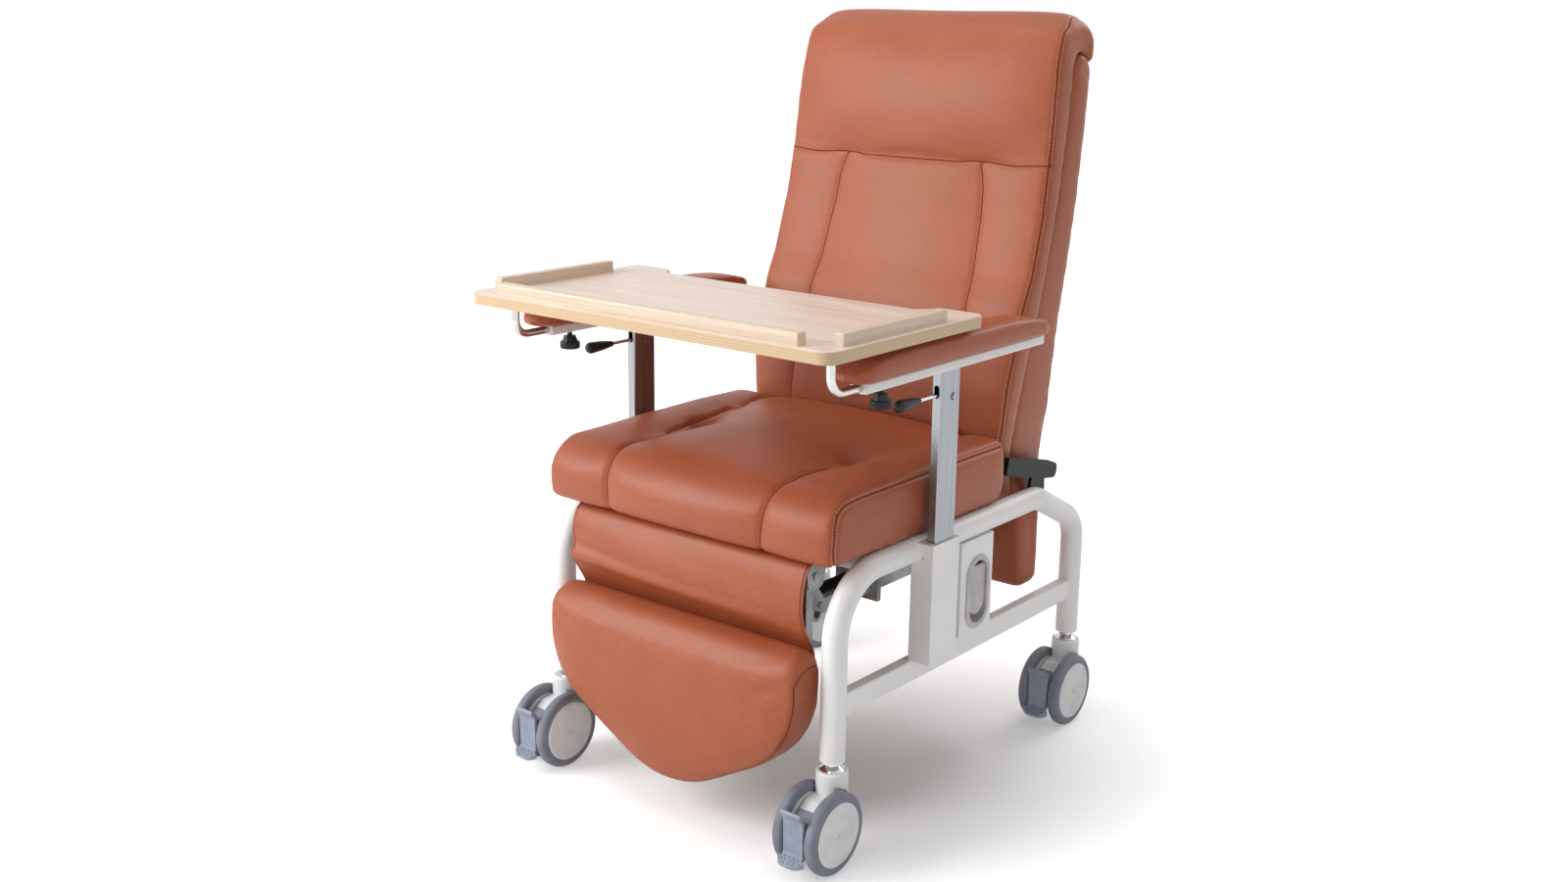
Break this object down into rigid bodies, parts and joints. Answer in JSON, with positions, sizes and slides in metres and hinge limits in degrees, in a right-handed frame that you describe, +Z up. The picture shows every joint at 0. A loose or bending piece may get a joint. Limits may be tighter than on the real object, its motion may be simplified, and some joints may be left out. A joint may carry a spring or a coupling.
{
  "type": "geriatric recliner",
  "caption": "Reclining care chair on braked casters with a coupled back and legrest, height-adjustable arms and a sliding meal tray.",
  "frame": {"origin": "floor, under the middle of the chair's overall box", "axes": "+Z up, the sitter faces -Y, +X is the sitter's left"},
  "size_m": [0.693, 0.834, 1.204],
  "materials": {
    "white_powder_coat": "semi-gloss powder coat",
    "zinc_steel": "zinc plated",
    "black_steel": "satin black",
    "chrome": "polished",
    "stainless": "bright drawn",
    "polished_aluminium": "polished",
    "tan_leather": "grained upholstery leather",
    "birch_plywood": "clear lacquer",
    "rough_plywood": "sanded",
    "grey_rubber": "matte",
    "grey_plastic": "matte",
    "pedal_plastic": "matte",
    "disc_plastic": "matte",
    "white_plastic": "gloss",
    "black_plastic": "satin",
    "release_plastic": "satin"
  },
  "bodies": {
    "base": {"left_side_frame": "white_powder_coat", "right_side_frame": "white_powder_coat", "lower_rails": "white_powder_coat", "cross_tubes": "white_powder_coat", "post_sockets": "white_powder_coat", "release_box": "white_powder_coat", "release_bezel": "release_plastic", "caster_stems": "chrome", "seat_frame": "zinc_steel", "recline_brackets": "zinc_steel", "seat_board": "rough_plywood", "seat_cushion": "tan_leather", "hinge_arms": "black_steel", "gas_spring_cylinder": "black_steel"},
    "release": {"release_paddle": "release_plastic"},
    "back": {"back_frame": "zinc_steel", "back_board": "rough_plywood", "back_cushion": "tan_leather", "back_shell": "tan_leather"},
    "drive": {"push_bar": "zinc_steel", "gas_spring_rod": "chrome"},
    "legrest": {"legrest_frame": "zinc_steel", "footrest_board": "rough_plywood", "footrest_pad": "tan_leather", "calf_flap": "tan_leather"},
    "arm_left": {"left_arm_post": "polished_aluminium", "left_arm_rail": "white_powder_coat", "left_arm_pad": "tan_leather"},
    "lever_left": {"left_lever_rod": "chrome", "left_lever_grip": "black_plastic"},
    "knob_left": {"left_tray_knob": "black_plastic"},
    "arm_right": {"right_arm_post": "polished_aluminium", "right_arm_rail": "white_powder_coat", "right_arm_pad": "tan_leather"},
    "lever_right": {"right_lever_rod": "chrome", "right_lever_grip": "black_plastic"},
    "knob_right": {"right_tray_knob": "black_plastic"},
    "tray": {"tray_board": "birch_plywood", "tray_strips": "birch_plywood", "tray_tubes": "stainless"},
    "front_left_caster": {"front_left_caster_fork": "white_plastic", "front_left_caster_hood": "grey_plastic"},
    "front_left_pedal": {"front_left_caster_pedal": "pedal_plastic"},
    "front_left_wheels": {"front_left_caster_tyres": "grey_rubber", "front_left_caster_hubs": "disc_plastic"},
    "front_right_caster": {"front_right_caster_fork": "white_plastic", "front_right_caster_hood": "grey_plastic"},
    "front_right_pedal": {"front_right_caster_pedal": "pedal_plastic"},
    "front_right_wheels": {"front_right_caster_tyres": "grey_rubber", "front_right_caster_hubs": "disc_plastic"},
    "rear_left_caster": {"rear_left_caster_fork": "white_plastic", "rear_left_caster_hood": "grey_plastic"},
    "rear_left_pedal": {"rear_left_caster_pedal": "pedal_plastic"},
    "rear_left_wheels": {"rear_left_caster_tyres": "grey_rubber", "rear_left_caster_hubs": "disc_plastic"},
    "rear_right_caster": {"rear_right_caster_fork": "white_plastic", "rear_right_caster_hood": "grey_plastic"},
    "rear_right_pedal": {"rear_right_caster_pedal": "pedal_plastic"},
    "rear_right_wheels": {"rear_right_caster_tyres": "grey_rubber", "rear_right_caster_hubs": "disc_plastic"}
  },
  "joints": [
    {"name": "back_recline", "type": "hinge", "parent": "base", "child": "back", "pos_m": [0, 0.273, 0.47], "axis": [-1, 0, 0], "range_deg": [0, 45]},
    {"name": "drive_slide", "type": "slide", "parent": "base", "child": "drive", "axis": [0, -1, 0], "range_m": [0, 0.102]},
    {"name": "legrest_lift", "type": "hinge", "parent": "base", "child": "legrest", "pos_m": [0, -0.245, 0.408], "axis": [-1, 0, 0], "range_deg": [0, 76], "deforming": ["calf_flap"]},
    {"name": "left_arm_height", "type": "slide", "parent": "base", "child": "arm_left", "axis": [0, 0, 1], "range_m": [-0.11, 0]},
    {"name": "right_arm_height", "type": "slide", "parent": "base", "child": "arm_right", "axis": [0, 0, 1], "range_m": [-0.11, 0]},
    {"name": "tray_reach", "type": "slide", "parent": "arm_left", "child": "tray", "axis": [0, -1, 0], "range_m": [0, 0.12]},
    {"name": "left_lever", "type": "hinge", "parent": "arm_left", "child": "lever_left", "pos_m": [0.306, -0.07, 0.666], "axis": [-1, 0, 0], "range_deg": [0, 9], "stiffness_Nm_per_rad": 2, "springref_deg": -4.58},
    {"name": "left_tray_knob", "type": "hinge", "parent": "arm_left", "child": "knob_left", "pos_m": [0.306, -0.244, 0.688], "axis": [0, 0, 1], "continuous": true},
    {"name": "right_lever", "type": "hinge", "parent": "arm_right", "child": "lever_right", "pos_m": [-0.306, -0.07, 0.666], "axis": [-1, 0, 0], "range_deg": [0, 9], "stiffness_Nm_per_rad": 2, "springref_deg": -4.58},
    {"name": "right_tray_knob", "type": "hinge", "parent": "arm_right", "child": "knob_right", "pos_m": [-0.306, -0.244, 0.688], "axis": [0, 0, 1], "continuous": true},
    {"name": "release_pull", "type": "hinge", "parent": "base", "child": "release", "pos_m": [0.2855, 0.061, 0.36], "axis": [0, -1, 0], "range_deg": [0, 20], "stiffness_Nm_per_rad": 0.5, "springref_deg": -5.73},
    {"name": "front_left_swivel", "type": "hinge", "parent": "base", "child": "front_left_caster", "pos_m": [0.275, -0.2965, 0.124], "axis": [0, 0, 1], "continuous": true},
    {"name": "front_left_roll", "type": "hinge", "parent": "front_left_caster", "child": "front_left_wheels", "pos_m": [0.275, -0.3285, 0.0625], "axis": [1, 0, 0], "continuous": true},
    {"name": "front_left_brake", "type": "hinge", "parent": "front_left_caster", "child": "front_left_pedal", "pos_m": [0.275, -0.3665, 0.0725], "axis": [1, 0, 0], "range_deg": [0, 6]},
    {"name": "front_right_swivel", "type": "hinge", "parent": "base", "child": "front_right_caster", "pos_m": [-0.275, -0.2965, 0.124], "axis": [0, 0, 1], "continuous": true},
    {"name": "front_right_roll", "type": "hinge", "parent": "front_right_caster", "child": "front_right_wheels", "pos_m": [-0.275, -0.3285, 0.0625], "axis": [1, 0, 0], "continuous": true},
    {"name": "front_right_brake", "type": "hinge", "parent": "front_right_caster", "child": "front_right_pedal", "pos_m": [-0.275, -0.3665, 0.0725], "axis": [1, 0, 0], "range_deg": [0, 6]},
    {"name": "rear_left_swivel", "type": "hinge", "parent": "base", "child": "rear_left_caster", "pos_m": [0.275, 0.3865, 0.124], "axis": [0, 0, 1], "continuous": true},
    {"name": "rear_left_roll", "type": "hinge", "parent": "rear_left_caster", "child": "rear_left_wheels", "pos_m": [0.275, 0.3545, 0.0625], "axis": [1, 0, 0], "continuous": true},
    {"name": "rear_left_brake", "type": "hinge", "parent": "rear_left_caster", "child": "rear_left_pedal", "pos_m": [0.275, 0.3165, 0.0725], "axis": [1, 0, 0], "range_deg": [0, 6]},
    {"name": "rear_right_swivel", "type": "hinge", "parent": "base", "child": "rear_right_caster", "pos_m": [-0.275, 0.3865, 0.124], "axis": [0, 0, 1], "continuous": true},
    {"name": "rear_right_roll", "type": "hinge", "parent": "rear_right_caster", "child": "rear_right_wheels", "pos_m": [-0.275, 0.3545, 0.0625], "axis": [1, 0, 0], "continuous": true},
    {"name": "rear_right_brake", "type": "hinge", "parent": "rear_right_caster", "child": "rear_right_pedal", "pos_m": [-0.275, 0.3165, 0.0725], "axis": [1, 0, 0], "range_deg": [0, 6]}
  ],
  "couplings": [
    {"joint": "drive_slide", "follows": "back_recline", "m_per_rad": 0.128},
    {"joint": "legrest_lift", "follows": "back_recline", "ratio": 1.6667},
    {"joint": "right_arm_height", "follows": "left_arm_height", "ratio": 1}
  ]
}
